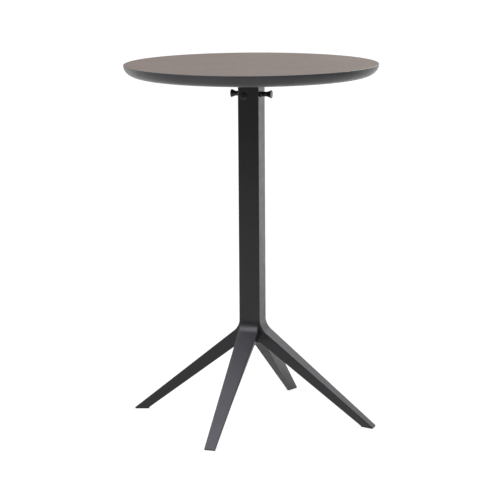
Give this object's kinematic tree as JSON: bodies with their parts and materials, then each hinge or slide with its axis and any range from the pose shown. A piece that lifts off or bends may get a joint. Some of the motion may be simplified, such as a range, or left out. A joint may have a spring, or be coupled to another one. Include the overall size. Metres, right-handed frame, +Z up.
{
  "type": "bistro table",
  "caption": "Round flip-top bistro table: thin disc top with an undercut edge, square column, four tapered splayed legs and a sprung two-knob tilt latch.",
  "frame": {"origin": "on the floor under the column's axis", "axes": "+Z up along the column, -Y towards the front where the latch is pulled to, +X to the right seen from the front"},
  "size_m": [0.7106, 0.7106, 1],
  "materials": {
    "column_paint": "satin",
    "leg_paint": "satin",
    "bare_casting": "satin",
    "bracket_paint": "satin",
    "zinc_steel": "satin",
    "insert_brass": "satin",
    "knob_plastic": "gloss",
    "glide_plastic": "satin",
    "bush_plastic": "satin",
    "pad_rubber": "matte",
    "top_core": "satin",
    "top_laminate": "matte"
  },
  "bodies": {
    "base": {"leg_right": "leg_paint", "leg_back": "leg_paint", "leg_left": "leg_paint", "leg_front": "leg_paint", "leg_screw_right": "zinc_steel", "leg_screw_back": "zinc_steel", "leg_screw_left": "zinc_steel", "leg_screw_front": "zinc_steel", "glide_right": "glide_plastic", "glide_back": "glide_plastic", "glide_left": "glide_plastic", "glide_front": "glide_plastic", "glide_screw_right": "zinc_steel", "glide_screw_back": "zinc_steel", "glide_screw_left": "zinc_steel", "glide_screw_front": "zinc_steel", "spigot": "bare_casting", "column_tube": "column_paint", "tie_rod": "zinc_steel", "tie_washer_upper": "zinc_steel", "tie_nut_upper": "zinc_steel", "tie_washer_lower": "zinc_steel", "tie_nut_lower": "zinc_steel", "head_block": "leg_paint", "head_bolt": "column_paint", "stop_pad_left": "pad_rubber", "stop_pad_right": "pad_rubber", "pivot_pin": "zinc_steel", "latch_spring": "zinc_steel"},
    "top": {"top_sheet": "top_laminate", "top_core": "top_core", "tilt_bracket": "bracket_paint", "pivot_bush_left": "bush_plastic", "pivot_bush_right": "bush_plastic", "insert_front_left": "insert_brass", "insert_front_right": "insert_brass", "insert_back_left": "insert_brass", "insert_back_right": "insert_brass", "bracket_screw_front_left": "zinc_steel", "bracket_screw_front_right": "zinc_steel", "bracket_screw_back_left": "zinc_steel", "bracket_screw_back_right": "zinc_steel"},
    "latch": {"latch_rod": "zinc_steel", "knob_left": "knob_plastic", "knob_right": "knob_plastic"}
  },
  "joints": [
    {"name": "top_tilt", "type": "hinge", "parent": "base", "child": "top", "pos_m": [0, 0.018, 0.934], "axis": [-1, 0, 0], "range_deg": [0, 90]},
    {"name": "latch_slide", "type": "slide", "parent": "base", "child": "latch", "axis": [0, -1, 0], "range_m": [0, 0.01], "stiffness_N_per_m": 1500, "springref_m": -0.006, "deforming": ["latch_spring"]}
  ]
}
